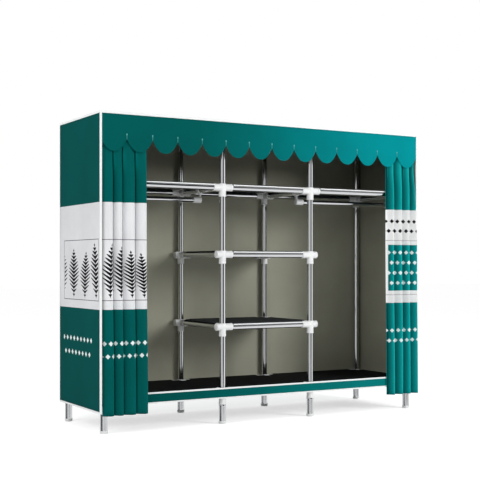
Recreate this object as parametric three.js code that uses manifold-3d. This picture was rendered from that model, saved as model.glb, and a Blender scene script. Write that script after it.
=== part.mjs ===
// Portable fabric wardrobe: a frame of steel tubes in plastic connectors, under a cloth cover.
// Eight legs carry it, cloth shelves lie on its rails, and two curtains slide along its front.
// Millimetres, +Z up, the front faces -Y, and the origin is on the floor under the middle.
import * as THREE from 'three';
import { mergeVertices } from 'three/addons/utils/BufferGeometryUtils.js';
import Module from 'manifold-3d';

const wasm = await Module();
wasm.setup();

// Driving dimensions of the whole
const WIDTH = 1930; // over the cover, along X
const DEPTH = 554; // over the cover, along Y
const HEIGHT = 1550; // floor to the top of the cover
const CLEARANCE = 0.3; // between two pieces that seat on each other
const OVERRUN = 5; // how far a cutting shape runs past what it cuts
const SIDES = 12; // sides of every tube, sleeve and bore

// Frame: posts, rails and the plastic connectors that join them
const OUTER_POST_INSET = 39; // centre of an end post to the cover's side
const FRONT_POST_INSET = 48; // leaves room for the curtains behind the valance
const REAR_POST_INSET = 27;
const MIDDLE_BAY = 541; // between the centres of the two middle post lines
const TUBE_DIAMETER = 32;
const TUBE_WALL = 1;
const SLEEVE_WALL = 2.7; // wall of a connector's sleeve
const ARM_LENGTH = 55; // centre of a connector to the end of an arm
const BLANK_ARM_LENGTH = 38; // the same for an arm that holds no rail
const SLEEVE_BELOW = 48; // centre of a connector to the lower end of its sleeve
const POST_ABOVE_TOP_RAIL = 10; // how far a post runs into the closed top connector
const BOTTOM_LEVEL = 163; // floor to the centre of the rails under the floor cloth
const TOP_COMPARTMENT = 333; // top of the cover down to the centre of the upper shelf's rails
const highLevelShare = 0.6727; // the middle bay's two shelves, from the bottom to the upper level
const lowLevelShare = 0.3178;

// Feet
const LEG_HEIGHT = 100; // floor to the lower end of the bottom connectors
const LEG_DIAMETER = 38;
const FOOT_CAP_DIAMETER = 40;
const FOOT_CAP_HEIGHT = 15;
const FOOT_CAP_BEVEL = 1.5;

// Cloth
const COVER_CLOTH = 2;
const SHELF_CLOTH = 3;
const COVER_BOTTOM = 109; // floor to the lower edge of the side and back panels
const VALANCE_DROP = 182; // top of the cover to the lowest point of the scallops
const SCALLOP_RISE = 47;
const SCALLOP_COUNT = 14;
const SCALLOP_STEPS = 8;
const SLIT_HEIGHT = 30; // of the thin slit above each point between two scallops
const SLIT_WIDTH = 1.6;
const BAND_TOP = 183.5; // the floor cloth's front band
const BAND_BOTTOM = 133;
const BAND_GAP = 1.5; // between the band and the connectors behind it
const NOTCH_MARGIN = 1; // round a connector, where a shelf cloth is cut out

// Clothes rods and their hangers
const ROD_DIAMETER = 25;
const ROD_WALL = 1;
const ROD_DROP = 52; // centre of the upper shelf's rails down to the rod's
const LEFT_ROD_Y = 20;
const RIGHT_ROD_Y = -90;
const HANGER_WIDTH = 24; // along the rail that it clips on
const HANGER_WALL = 3.5;
const HANGER_WEB = 8; // thickness of the web between clip and socket
const HANGER_OPEN_ABOVE = 9; // the clip is open above this height over the rail's centre
const SOCKET_DEPTH = 38; // how far the rod runs into a hanger
const SOCKET_END_WALL = 4;

// Curtains
const RAIL_DIAMETER = 10;
const RAIL_DROP = 53; // top of the cover to the rail's centre
const RAIL_FLANGE = 4; // thickness of the flange at the back of the rail
const CURTAIN_BOTTOM = 94;
const CURTAIN_CLOTH = 2.5;
const CURTAIN_FRONT_GAP = 1; // to the valance
const CURTAIN_BACK_GAP = 1.5; // to the floor cloth's front band
const FOLD_GAP = 0.4; // between neighbouring folds
const FOLD_STEPS = 12;
const CURTAIN_OUTER_GAP = 5; // side panel to a curtain's outer edge
const LEFT_FOLD_WIDTHS = [67, 54, 73, 57]; // while drawn aside, from the outermost fold inwards
const RIGHT_FOLD_WIDTHS = [26, 54, 59, 61];

// Worked out from the driving dimensions
const tubeRadius = TUBE_DIAMETER / 2;
const sleeveRadius = tubeRadius + CLEARANCE + SLEEVE_WALL;
const socketStart = sleeveRadius; // a rail's socket starts where the post's sleeve ends
const railStart = socketStart + CLEARANCE;
const topLevel = HEIGHT - COVER_CLOTH - CLEARANCE - sleeveRadius;
const upperLevel = HEIGHT - TOP_COMPARTMENT;
const highLevel = BOTTOM_LEVEL + highLevelShare * (upperLevel - BOTTOM_LEVEL);
const lowLevel = BOTTOM_LEVEL + lowLevelShare * (upperLevel - BOTTOM_LEVEL);
const frontY = -DEPTH / 2 + FRONT_POST_INSET;
const rearY = DEPTH / 2 - REAR_POST_INSET;
const outerX = WIDTH / 2 - OUTER_POST_INSET;
const innerX = MIDDLE_BAY / 2;

const finishes = {
  tube: { color: 0xc4c7c9, roughness: 0.18, metalness: 1 },
  plastic: { color: 0xf2f3f4, roughness: 0.4, metalness: 0 },
  leg: { color: 0xb9bcbe, roughness: 0.25, metalness: 1 },
  green_cloth: { color: 0x006a62, roughness: 0.85, metalness: 0 },
  grey_cloth: { color: 0x3a3d40, roughness: 0.9, metalness: 0 },
};

const wardrobe = new THREE.Group();

// Adds one named piece with a finish of its own; its place is given by the position.
function addPiece(parent, name, geometry, finish, position = [0, 0, 0]) {
  const piece = new THREE.Mesh(geometry, new THREE.MeshStandardMaterial(finishes[finish]));
  piece.name = name;
  piece.position.set(...position);
  parent.add(piece);
  return piece;
}

// Turns a closed geometry into a solid that can be joined and cut.
function toSolid(geometry) {
  const bare = geometry.clone();
  bare.deleteAttribute('normal');
  bare.deleteAttribute('uv');
  const merged = mergeVertices(bare);
  return new wasm.Manifold(new wasm.Mesh({
    numProp: 3,
    vertProperties: new Float32Array(merged.attributes.position.array),
    triVerts: new Uint32Array(merged.index.array),
  }));
}

// Turns a solid back into a geometry.
function toGeometry(solid) {
  const { vertProperties, triVerts } = solid.getMesh();
  const geometry = new THREE.BufferGeometry();
  geometry.setAttribute('position', new THREE.BufferAttribute(vertProperties, 3));
  geometry.setIndex(new THREE.BufferAttribute(triVerts, 1));
  geometry.computeVertexNormals();
  return geometry;
}

const join = (solids) => solids.reduce((whole, next) => whole.add(next));

// A round bar along an axis, between two places on it; the other two coordinates are its centre.
function bar(axis, radius, from, to, centre = [0, 0, 0]) {
  const geometry = new THREE.CylinderGeometry(radius, radius, to - from, SIDES);
  const middle = (from + to) / 2;
  const place = [...centre];
  if (axis === 'x') geometry.rotateZ(Math.PI / 2);
  if (axis === 'z') geometry.rotateX(Math.PI / 2);
  place['xyz'.indexOf(axis)] += middle;
  return geometry.translate(...place);
}

const barSolid = (...sizes) => toSolid(bar(...sizes));

// A tube open at both ends.
function tube(axis, diameter, wall, from, to) {
  const skin = barSolid(axis, diameter / 2, from, to);
  const bore = barSolid(axis, diameter / 2 - wall, from - OVERRUN, to + OVERRUN);
  return toGeometry(skin.subtract(bore));
}

const box = (sizeX, sizeY, sizeZ, centre) =>
  new THREE.BoxGeometry(sizeX, sizeY, sizeZ).translate(...centre);

// The four post lines, from left to right; sides are the ways in which rails leave a connector.
const postLines = [
  { name: 'left', x: -outerX, sides: [1] },
  { name: 'mid_left', x: -innerX, sides: [-1, 1] },
  { name: 'mid_right', x: innerX, sides: [-1, 1] },
  { name: 'right', x: outerX, sides: [-1] },
];
const middleLines = postLines.slice(1, 3);
const rows = [
  { name: 'front', y: frontY, inward: 1 },
  { name: 'rear', y: rearY, inward: -1 },
];

// Feet and posts. A foot is a leg with a wider cap under it, and its post stands on it.
function footGeometry() {
  const cap = FOOT_CAP_DIAMETER / 2;
  const leg = LEG_DIAMETER / 2;
  const profile = [
    [0, 0], [cap - FOOT_CAP_BEVEL, 0], [cap, FOOT_CAP_BEVEL], [cap, FOOT_CAP_HEIGHT],
    [leg, FOOT_CAP_HEIGHT + FOOT_CAP_BEVEL], [leg, LEG_HEIGHT - CLEARANCE], [0, LEG_HEIGHT - CLEARANCE],
  ];
  const points = profile.map(([radius, height]) => new THREE.Vector2(radius, height));
  return new THREE.LatheGeometry(points, SIDES).rotateX(Math.PI / 2);
}

const postTop = topLevel + POST_ABOVE_TOP_RAIL;
for (const row of rows) {
  for (const line of postLines) {
    const place = [line.x, row.y, 0];
    addPiece(wardrobe, `foot_${row.name}_${line.name}`, footGeometry(), 'leg', place);
    const post = tube('z', TUBE_DIAMETER, TUBE_WALL, LEG_HEIGHT, postTop);
    addPiece(wardrobe, `post_${row.name}_${line.name}`, post, 'tube', place);
  }
}

// The sides of a post line on which a level has rails along X.
const railSidesOf = (line, lines) =>
  line.sides.filter((side) => lines.includes(postLines[postLines.indexOf(line) + side]));

// The outside of a connector: a sleeve round the post with an arm for each rail, and shorter blank arms.
function connectorSkin(line, row, lines, sleeveBelow = SLEEVE_BELOW) {
  const centre = [line.x, row.y, 0];
  const skins = [barSolid('z', sleeveRadius, -sleeveBelow, sleeveRadius, centre)];
  for (const side of line.sides) {
    const reach = railSidesOf(line, lines).includes(side) ? ARM_LENGTH : BLANK_ARM_LENGTH;
    const ends = [0, side * reach].sort((a, b) => a - b);
    skins.push(barSolid('x', sleeveRadius, ...ends, centre));
  }
  const ends = [0, row.inward * ARM_LENGTH].sort((a, b) => a - b);
  skins.push(barSolid('y', sleeveRadius, ...ends, centre));
  return join(skins);
}

// The bore that a post passes through, in a connector or in a joined frame.
function postBore(line, row, from = -LEG_HEIGHT, to = sleeveRadius + OVERRUN) {
  return barSolid('z', tubeRadius + CLEARANCE, from, to, [line.x, row.y, 0]);
}

// A separate connector at the front, with a socket in each arm that holds a rail.
function frontConnector(line, lines) {
  const [row] = rows;
  const centre = [line.x, row.y, 0];
  let solid = connectorSkin(line, row, lines).subtract(postBore(line, row));
  const socketRadius = tubeRadius + CLEARANCE;
  const socketEnd = ARM_LENGTH + OVERRUN;
  for (const side of railSidesOf(line, lines)) {
    const ends = [side * socketStart, side * socketEnd].sort((a, b) => a - b);
    solid = solid.subtract(barSolid('x', socketRadius, ...ends, centre));
  }
  return toGeometry(solid.subtract(barSolid('y', socketRadius, socketStart, socketEnd, centre)));
}

// Rails along X from line to line, as solid bars of a joined frame.
function rowRails(lines, row) {
  return lines.slice(1).map((line, index) =>
    barSolid('x', tubeRadius, lines[index].x, line.x, [0, row.y, 0]));
}

// The rear half of a level: its rear connectors and rails, and the rails that run forward.
function rearFrame(lines) {
  const [, rear] = rows;
  const pieces = lines.flatMap((line) => [
    connectorSkin(line, rear, lines),
    barSolid('y', tubeRadius, frontY + railStart, rearY, [line.x, 0, 0]),
  ]);
  const whole = join([...pieces, ...rowRails(lines, rear)]);
  return toGeometry(whole.subtract(join(lines.map((line) => postBore(line, rear)))));
}

// A whole level as one rectangle of rails with all eight connectors.
function ringFrame(sleeveBelow, boreTop) {
  const pieces = rows.flatMap((row) => [
    ...postLines.map((line) => connectorSkin(line, row, postLines, sleeveBelow)),
    ...rowRails(postLines, row),
  ]);
  const forward = postLines.map((line) => barSolid('y', tubeRadius, frontY, rearY, [line.x, 0, 0]));
  const bores = rows.flatMap((row) =>
    postLines.map((line) => postBore(line, row, -sleeveBelow - OVERRUN, boreTop)));
  return toGeometry(join([...pieces, ...forward]).subtract(join(bores)));
}

const topFrame = ringFrame(SLEEVE_BELOW, POST_ABOVE_TOP_RAIL + CLEARANCE);
addPiece(wardrobe, 'top_frame', topFrame, 'tube', [0, 0, topLevel]);
const bottomFrame = ringFrame(BOTTOM_LEVEL - LEG_HEIGHT, sleeveRadius + OVERRUN);
addPiece(wardrobe, 'bottom_frame', bottomFrame, 'tube', [0, 0, BOTTOM_LEVEL]);

const shelfLevels = [
  { name: 'upper', z: upperLevel, lines: postLines },
  { name: 'middle_high', z: highLevel, lines: middleLines },
  { name: 'middle_low', z: lowLevel, lines: middleLines },
];
const bayNames = { upper: ['left', 'middle', 'right'], middle_high: ['front'], middle_low: ['front'] };

for (const level of shelfLevels) {
  addPiece(wardrobe, `${level.name}_rear_frame`, rearFrame(level.lines), 'tube', [0, 0, level.z]);
  for (const line of level.lines) {
    const connector = frontConnector(line, level.lines);
    addPiece(wardrobe, `${level.name}_connector_${line.name}`, connector, 'plastic', [0, 0, level.z]);
  }
  level.lines.slice(1).forEach((line, index) => {
    const ends = [level.lines[index].x + railStart, line.x - railStart];
    const rail = tube('x', TUBE_DIAMETER, TUBE_WALL, ...ends);
    const name = `${level.name}_rail_${bayNames[level.name][index]}`;
    addPiece(wardrobe, name, rail, 'tube', [0, frontY, level.z]);
  });
}

// Shelf cloths. Each lies on its rails and is cut out round the connectors at its corners.
const notchReach = ARM_LENGTH + NOTCH_MARGIN;
const notchHalf = sleeveRadius + NOTCH_MARGIN;

// The cut-out round one connector: a bar for the rails along X and one for the rail along Y.
function connectorNotch(line, row) {
  const tall = SHELF_CLOTH + 2 * OVERRUN;
  const along = box(2 * notchReach, 2 * notchHalf, tall, [line.x, row.y, 0]);
  const reach = notchReach + notchHalf;
  const inward = row.y + row.inward * (reach / 2 - notchHalf);
  return toSolid(along).add(toSolid(box(2 * notchHalf, reach, tall, [line.x, inward, 0])));
}

function shelfCloth(fromX, toX, lines, frontEdge = frontY - tubeRadius) {
  const rearEdge = rearY + tubeRadius;
  const centre = [(fromX + toX) / 2, (frontEdge + rearEdge) / 2, 0];
  const cloth = toSolid(box(toX - fromX, rearEdge - frontEdge, SHELF_CLOTH, centre));
  const notches = rows.flatMap((row) => lines.map((line) => connectorNotch(line, row)));
  return cloth.subtract(join(notches));
}

const clothAboveRail = tubeRadius + CLEARANCE + SHELF_CLOTH / 2;
const edgeBeyond = { left: -tubeRadius, right: tubeRadius };
for (let bay = 0; bay < postLines.length - 1; bay += 1) {
  const [start, end] = postLines.slice(bay, bay + 2);
  const fromX = start.x + (edgeBeyond[start.name] ?? CLEARANCE / 2);
  const toX = end.x + (edgeBeyond[end.name] ?? -CLEARANCE / 2);
  const cloth = toGeometry(shelfCloth(fromX, toX, [start, end]));
  const name = `upper_shelf_${bayNames.upper[bay]}`;
  addPiece(wardrobe, name, cloth, 'grey_cloth', [0, 0, upperLevel + clothAboveRail]);
}
for (const level of shelfLevels.slice(1)) {
  const cloth = toGeometry(shelfCloth(-innerX - tubeRadius, innerX + tubeRadius, middleLines));
  addPiece(wardrobe, `${level.name}_shelf`, cloth, 'grey_cloth', [0, 0, level.z + clothAboveRail]);
}

// The floor cloth covers all three bays and turns down in front as a band.
const panelInside = WIDTH / 2 - COVER_CLOTH - CLEARANCE;
const bandBack = frontY - sleeveRadius - BAND_GAP;
const floorZ = BOTTOM_LEVEL + clothAboveRail;
const bandHeight = BAND_TOP - BAND_BOTTOM;
const bandCentre = [0, bandBack - COVER_CLOTH / 2, (BAND_TOP + BAND_BOTTOM) / 2 - floorZ];
const band = toSolid(box(2 * panelInside, COVER_CLOTH, bandHeight, bandCentre));
const bandFront = bandBack - COVER_CLOTH;
const floorSheet = shelfCloth(-outerX - tubeRadius, outerX + tubeRadius, postLines, bandFront);
addPiece(wardrobe, 'floor_cloth', toGeometry(floorSheet.add(band)), 'grey_cloth', [0, 0, floorZ]);

// Clothes rods, each held by two hangers that clip on the upper shelf's forward rails.
function rodHanger(side) {
  const clipRadius = tubeRadius + CLEARANCE + HANGER_WALL;
  const socketRadius = ROD_DIAMETER / 2 + CLEARANCE + HANGER_WALL;
  const half = HANGER_WIDTH / 2;
  const clip = barSolid('y', clipRadius, -half, half);
  const socketEnds = [-side * SOCKET_END_WALL, side * (SOCKET_DEPTH + SOCKET_END_WALL)];
  socketEnds.sort((a, b) => a - b);
  const socket = barSolid('x', socketRadius, ...socketEnds, [0, 0, -ROD_DROP]);
  const web = toSolid(box(HANGER_WEB, HANGER_WIDTH, ROD_DROP, [0, 0, -ROD_DROP / 2]));
  const railBore = barSolid('y', tubeRadius + CLEARANCE, -half - OVERRUN, half + OVERRUN);
  const above = clipRadius + OVERRUN;
  const mouth = toSolid(box(2 * above, HANGER_WIDTH + 2 * OVERRUN, above,
    [0, 0, HANGER_OPEN_ABOVE + above / 2]));
  const rodEnds = [side * HANGER_WEB / 2, side * (SOCKET_DEPTH + SOCKET_END_WALL + OVERRUN)];
  rodEnds.sort((a, b) => a - b);
  const rodBore = barSolid('x', ROD_DIAMETER / 2 + CLEARANCE, ...rodEnds, [0, 0, -ROD_DROP]);
  return toGeometry(join([clip, socket, web]).subtract(join([railBore, mouth, rodBore])));
}

const rodBays = [
  { name: 'left', y: LEFT_ROD_Y, from: postLines[0], to: postLines[1] },
  { name: 'right', y: RIGHT_ROD_Y, from: postLines[2], to: postLines[3] },
];
for (const bay of rodBays) {
  const start = bay.from.x + HANGER_WEB / 2 + CLEARANCE;
  const end = bay.to.x - HANGER_WEB / 2 - CLEARANCE;
  const rod = tube('x', ROD_DIAMETER, ROD_WALL, start, end);
  addPiece(wardrobe, `clothes_rod_${bay.name}`, rod, 'tube', [0, bay.y, upperLevel - ROD_DROP]);
  for (const [line, side] of [[bay.from, 1], [bay.to, -1]]) {
    const name = `rod_hanger_${bay.name}_${middleLines.includes(line) ? 'inner' : 'outer'}`;
    addPiece(wardrobe, name, rodHanger(side), 'plastic', [line.x, bay.y, upperLevel]);
  }
}

// Cover: top, two sides, back, and the scalloped valance along the front.
const coverTopUnder = HEIGHT - COVER_CLOTH;
const panelTop = coverTopUnder - CLEARANCE;
const panelHeight = panelTop - COVER_BOTTOM;
const panelZ = (panelTop + COVER_BOTTOM) / 2;
addPiece(wardrobe, 'cover_top', new THREE.BoxGeometry(WIDTH, DEPTH, COVER_CLOTH), 'green_cloth',
  [0, 0, HEIGHT - COVER_CLOTH / 2]);
for (const [name, side] of [['cover_left', -1], ['cover_right', 1]]) {
  const panel = new THREE.BoxGeometry(COVER_CLOTH, DEPTH, panelHeight);
  addPiece(wardrobe, name, panel, 'green_cloth', [side * (WIDTH - COVER_CLOTH) / 2, 0, panelZ]);
}
const backPanel = new THREE.BoxGeometry(2 * panelInside, COVER_CLOTH, panelHeight);
addPiece(wardrobe, 'cover_back', backPanel, 'green_cloth', [0, (DEPTH - COVER_CLOTH) / 2, panelZ]);

// Outline of the valance, seen from the front: equal arcs with a thin slit at each meeting point.
function valanceOutline() {
  const lowest = HEIGHT - VALANCE_DROP;
  const pointZ = lowest + SCALLOP_RISE;
  const pitch = 2 * panelInside / SCALLOP_COUNT;
  const half = SLIT_WIDTH / 2;
  const outline = new THREE.Shape();
  outline.moveTo(panelInside, panelTop);
  outline.lineTo(-panelInside, panelTop);
  outline.lineTo(-panelInside, pointZ);
  for (let index = 0; index < SCALLOP_COUNT; index += 1) {
    const start = -panelInside + index * pitch + (index > 0 ? half : 0);
    const end = -panelInside + (index + 1) * pitch - (index < SCALLOP_COUNT - 1 ? half : 0);
    for (let step = 1; step <= SCALLOP_STEPS; step += 1) {
      const turn = Math.PI * step / SCALLOP_STEPS;
      const x = (start + end) / 2 - (end - start) / 2 * Math.cos(turn);
      outline.lineTo(x, pointZ - SCALLOP_RISE * Math.sin(turn));
    }
    if (index < SCALLOP_COUNT - 1) {
      outline.lineTo(end, pointZ + SLIT_HEIGHT);
      outline.lineTo(end + 2 * half, pointZ + SLIT_HEIGHT);
      outline.lineTo(end + 2 * half, pointZ);
    }
  }
  outline.closePath();
  return outline;
}

const valance = new THREE.ExtrudeGeometry(valanceOutline(), { depth: COVER_CLOTH, bevelEnabled: false });
valance.rotateX(Math.PI / 2);
addPiece(wardrobe, 'valance', valance, 'green_cloth', [0, -DEPTH / 2 + COVER_CLOTH, 0]);

// Curtain rail: a rod behind the valance, with a flange at its back that lies against the top connectors.
const curtainFront = -DEPTH / 2 + COVER_CLOTH + CURTAIN_FRONT_GAP;
const curtainBack = bandFront - CURTAIN_BACK_GAP;
const curtainRailY = (curtainFront + curtainBack) / 2;
const curtainRailZ = HEIGHT - RAIL_DROP;
const railEnd = panelInside - CLEARANCE;
const flangeDepth = frontY - sleeveRadius - CLEARANCE - curtainRailY;
const railRod = barSolid('x', RAIL_DIAMETER / 2, -railEnd, railEnd);
const railFlange = toSolid(box(2 * railEnd, flangeDepth, RAIL_FLANGE, [0, flangeDepth / 2, 0]));
addPiece(wardrobe, 'curtain_rail', toGeometry(railRod.add(railFlange)), 'tube',
  [0, curtainRailY, curtainRailZ]);

// One fold of a curtain: an arch of cloth, seen from above, that hangs from the rail.
function foldGeometry(width) {
  const depth = curtainBack - curtainFront;
  const height = curtainRailZ - RAIL_DIAMETER / 2 - CLEARANCE - CURTAIN_BOTTOM;
  const arch = (halfWidth, archDepth, turns) => turns.map((turn) =>
    new THREE.Vector2(-halfWidth * Math.cos(turn), depth - archDepth * Math.sin(turn)));
  const turns = Array.from({ length: FOLD_STEPS + 1 }, (_, step) => Math.PI * step / FOLD_STEPS);
  const outside = arch(width / 2, depth, turns);
  const inside = arch(width / 2 - CURTAIN_CLOTH, depth - CURTAIN_CLOTH, [...turns].reverse());
  const outline = new THREE.Shape([...outside, ...inside]);
  return new THREE.ExtrudeGeometry(outline, { depth: height, bevelEnabled: false });
}

const curtains = [
  { name: 'left', side: -1, widths: LEFT_FOLD_WIDTHS },
  { name: 'right', side: 1, widths: RIGHT_FOLD_WIDTHS },
];
for (const { name, side, widths } of curtains) {
  const curtain = new THREE.Group();
  let outerEdge = panelInside - CURTAIN_OUTER_GAP;
  widths.forEach((width, index) => {
    const fold = foldGeometry(width - FOLD_GAP);
    addPiece(curtain, `curtain_${name}_fold_${index + 1}`, fold, 'green_cloth',
      [side * (outerEdge - width / 2), curtainFront, CURTAIN_BOTTOM]);
    outerEdge -= width;
  });
  wardrobe.add(curtain);
}

export default wardrobe;
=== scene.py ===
"""Looks of a portable fabric wardrobe: a chromed tube frame in white connectors under a cloth cover.

Lengths are in millimetres up to make_piece(), which turns them into metres. The front faces -Y.
"""
import math

import bmesh
import bpy
import numpy as np
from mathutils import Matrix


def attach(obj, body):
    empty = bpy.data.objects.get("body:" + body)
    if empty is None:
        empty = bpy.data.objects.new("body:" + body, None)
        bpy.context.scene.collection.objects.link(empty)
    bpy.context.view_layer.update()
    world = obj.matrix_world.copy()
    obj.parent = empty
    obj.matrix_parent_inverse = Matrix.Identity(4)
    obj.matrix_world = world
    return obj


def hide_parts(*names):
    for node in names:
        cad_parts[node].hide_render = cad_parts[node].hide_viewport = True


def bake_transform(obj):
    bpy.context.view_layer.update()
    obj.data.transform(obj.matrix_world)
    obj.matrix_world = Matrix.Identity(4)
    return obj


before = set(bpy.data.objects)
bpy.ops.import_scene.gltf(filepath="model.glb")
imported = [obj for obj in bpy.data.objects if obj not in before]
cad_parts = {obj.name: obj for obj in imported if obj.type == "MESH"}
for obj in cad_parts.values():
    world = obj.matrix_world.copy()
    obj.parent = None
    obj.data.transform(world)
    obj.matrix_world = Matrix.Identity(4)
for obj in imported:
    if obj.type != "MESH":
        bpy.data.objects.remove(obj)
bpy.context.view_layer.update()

MM = 0.001
X, Y, Z = np.eye(3)
AROUND = np.linspace(0, 2 * math.pi, 41)  # angles round a tube

# Frame: radii, reaches from a post line or level, post lines, rows with the way inwards, and levels
TUBE, ROD, SLEEVE, MOUTH, BORE, ROOT = 16.0, 12.5, 18.3, 19.0, 16.2, 17.6
ARM, BLANK_ARM, SLEEVE_BELOW, RAIL_START = 55.0, 38.0, 48.0, 19.3
LINES = {"left": -926.0, "mid_left": -270.5, "mid_right": 270.5, "right": 926.0}
NAMES = list(LINES)
PAIRS = list(zip(NAMES, NAMES[1:]))
BAYS = ("left", "middle", "right")
FRONT_ROW, REAR_ROW = -229.0, 250.0
ROWS = {"front": (FRONT_ROW, 1), "rear": (REAR_ROW, -1)}
LEVELS = {"top": 1528.7, "bottom": 163.0, "upper": 1217.0, "middle_high": 872.026, "middle_low": 497.961}
LEG_TOP, POST_TOP = 100.0, 1538.0
ROD_Z = LEVELS["upper"] - 52.0

# Cloth: the cover's box, its panels, the valance, the front band, the shelf cloths and the curtains
LEFT, RIGHT, FRONT, BACK, HEIGHT = -965.0, 965.0, -277.0, 277.0, 1550.0
COVER_BOTTOM, PANEL_INSIDE, PANEL_TOP = 109.0, 962.7, 1547.7
SEAM_Z, HEM_Z = 1553.0, 107.0
VALANCE_LOWEST, SCALLOPS, SCALLOP_RISE, SLIT, SLIT_WIDTH = 1366.5, 14, 59.0, 22.0, 2.0
SCALLOP_PITCH, SLIT_TOP = 2 * PANEL_INSIDE / SCALLOPS, VALANCE_LOWEST + SCALLOP_RISE + SLIT
BAND_TOP, BAND_BOTTOM, BAND_BACK, BAND_FRONT = 183.5, 133.0, -249.5, -250.9
SHELF_ABOVE, SHELF_FRONT, SHELF_REAR, SHELF_BINDING = 19.3, -245.0, 266.0, -246.2
NOTCH, NOTCH_END, TURN_DOWN = 20.0, 56.0, 7.0
COVER_WALL, SHELF_WALL, CURTAIN_WALL = 1.2, 2.0, 0.8
CURTAIN_BOTTOM, CURTAIN_TOP, CURTAIN_OUTER = 89.0, 1491.5, 957.7
CURTAIN_HEIGHT = CURTAIN_TOP - CURTAIN_BOTTOM
# depths of the pleats' inner and outer ends, of the first outer and the last inner one, and of crests
CURTAIN_BACK, CURTAIN_LAYER, FIRST_OUTER, LAST_INNER, CREST = -253.6, -264.0, -262.0, -257.0, -272.2
BELOW_VALANCE, CLOSE_ROWS = 1362.0, 1250.0  # heights where pleats swell out, and where rows lie closer
LEADING_EDGE = 1600.0  # how far along a curtain's cloth its leading edge is taken to lie
FERN_PITCH, DIAMOND_PITCH = 99.0, 33.0
RAIL_Y, RAIL_Z, RAIL_END = -263.5, 1497.0, 962.0


# Surfaces on a grid
def spread(*values):
    """A grid of points or of uv from its coordinates, each spread over the whole grid."""
    return np.stack(np.broadcast_arrays(*values), axis=2)


def arc_lengths(points):
    """Distance along a line of points, from 0 at its first point."""
    return np.concatenate([[0.0], np.cumsum(np.linalg.norm(np.diff(points, axis=0), axis=1))])


def add_object(name, data):
    """Puts an object with this data into the scene."""
    thing = bpy.data.objects.new(name, data)
    bpy.context.scene.collection.objects.link(thing)
    return thing


def make_piece(name, shells, kind, replaces=None, body="wardrobe", wall=0.0, crease=38, shade=None):
    """One object from grid shells, each its points, their uv and, if it leaves cells out, those kept.

    Neighbouring points make quads, points go from millimetres to metres, and equal ones are merged,
    which closes seams and poles. The kind is a list of materials and a slot, and the slot is not used;
    the piece replaces one CAD node or none. A wall above 0 turns an open sheet into cloth of that
    thickness, laid behind the side it faces. A shade is one value for each column of the only grid,
    which its cloth reads as an attribute.
    """
    points, maps, quads, start = [], [], [], 0
    for grid, uv, *kept in shells:
        rows, columns = grid.shape[:2]
        first = (np.arange(rows - 1)[:, None] * columns + np.arange(columns - 1)).ravel()
        if kept:
            first = first[kept[0].ravel()]
        points.append(grid.reshape(-1, 3))
        maps.append(uv.reshape(-1, 2))
        quads.append(start + np.stack([first, first + 1, first + columns + 1, first + columns], axis=1))
        start += rows * columns
    quads, uv = np.concatenate(quads), np.concatenate(maps) * MM
    mesh = bpy.data.meshes.new(name)
    mesh.from_pydata(np.concatenate(points) * MM, [], quads)
    mesh.uv_layers.new(name="UVMap").data.foreach_set("uv", uv[quads.ravel()].ravel().astype(np.float32))
    mesh.polygons.foreach_set("use_smooth", np.ones(len(quads), bool))
    # the shade is painted shade and light along a pleat, which its cloth reads as an attribute
    if shade is not None:
        values = np.broadcast_to(shade, shells[0][0].shape[:2]).astype(np.float32)
        mesh.attributes.new("painted_fold_shade", "FLOAT", "POINT").data.foreach_set("value", values.ravel())
    work = bmesh.new()
    work.from_mesh(mesh)
    bmesh.ops.remove_doubles(work, verts=work.verts, dist=1e-6)
    if not wall:
        bmesh.ops.recalc_face_normals(work, faces=work.faces)
    bmesh.ops.delete(work, geom=[point for point in work.verts if not point.link_faces], context="VERTS")
    work.to_mesh(mesh)
    work.free()
    mesh.set_sharp_from_angle(angle=math.radians(crease))
    materials, slot = kind
    for material in materials:
        mesh.materials.append(material)
    piece = add_object(name, mesh)
    if wall:
        cloth = piece.modifiers.new("cloth_wall", "SOLIDIFY")
        cloth.thickness, cloth.offset, cloth.use_even_offset = wall * MM, -1.0, False
        cloth.material_offset = len(materials) - 1
    if body:
        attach(piece, body)
    if replaces:
        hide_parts(replaces)
    return piece


def make_sheet(name, shell, kind, replaces, wall, flat, held, rests_on, **options):
    """A piece of cloth. Its flat size, in millimetres, is not used."""
    piece = make_piece(name, [shell], kind, replaces, wall=wall, **options)


def axes_of(axis):
    """The unit vector along an axis and two across it, as a right-handed set."""
    along = np.eye(3)["xyz".index(axis)]
    return along, np.roll(along, 1), np.roll(along, 2)


def sweep(section, origins, across, up):
    """A closed section carried along a path: point = origin + s * across + t * up. The first and the
    last section are drawn to their own middle, which closes the ends."""
    origins = np.asarray(origins, float)
    across, up = np.broadcast_to(across, origins.shape), np.broadcast_to(up, origins.shape)
    s, t = section.T[:, None, :, None]
    grid = origins[:, None] + s * across[:, None] + t * up[:, None]
    uv = spread(arc_lengths(origins)[:, None], arc_lengths(section))
    first, last = [np.broadcast_to(grid[end].mean(axis=0), (1, len(section), 3)) for end in (0, -1)]
    return np.concatenate([first, grid, last]), np.concatenate([uv[:1], uv, uv[-1:]])


def rounded_box(width, height, radius):
    """A rectangle round the origin whose corners are quarter circles, closed on its first point."""
    corners = []
    for quarter, (x, y) in enumerate(((1, 1), (-1, 1), (-1, -1), (1, -1))):
        turns = np.linspace(0, math.pi / 2, 4) + quarter * math.pi / 2
        corners.append(np.stack([x * (width / 2 - radius) + radius * np.cos(turns),
                                 y * (height / 2 - radius) + radius * np.sin(turns)], axis=1))
    return np.concatenate([*corners, corners[0][:1]])


def rings(radius, place, along, across, up, centre):
    """Points of rings round an axis: centre + place * along + radius * (cos a * across + sin a * up)."""
    ring = np.cos(AROUND)[:, None] * across + np.sin(AROUND)[:, None] * up
    return np.asarray(centre, float) + place[..., None] * along + radius[..., None] * ring


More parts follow.
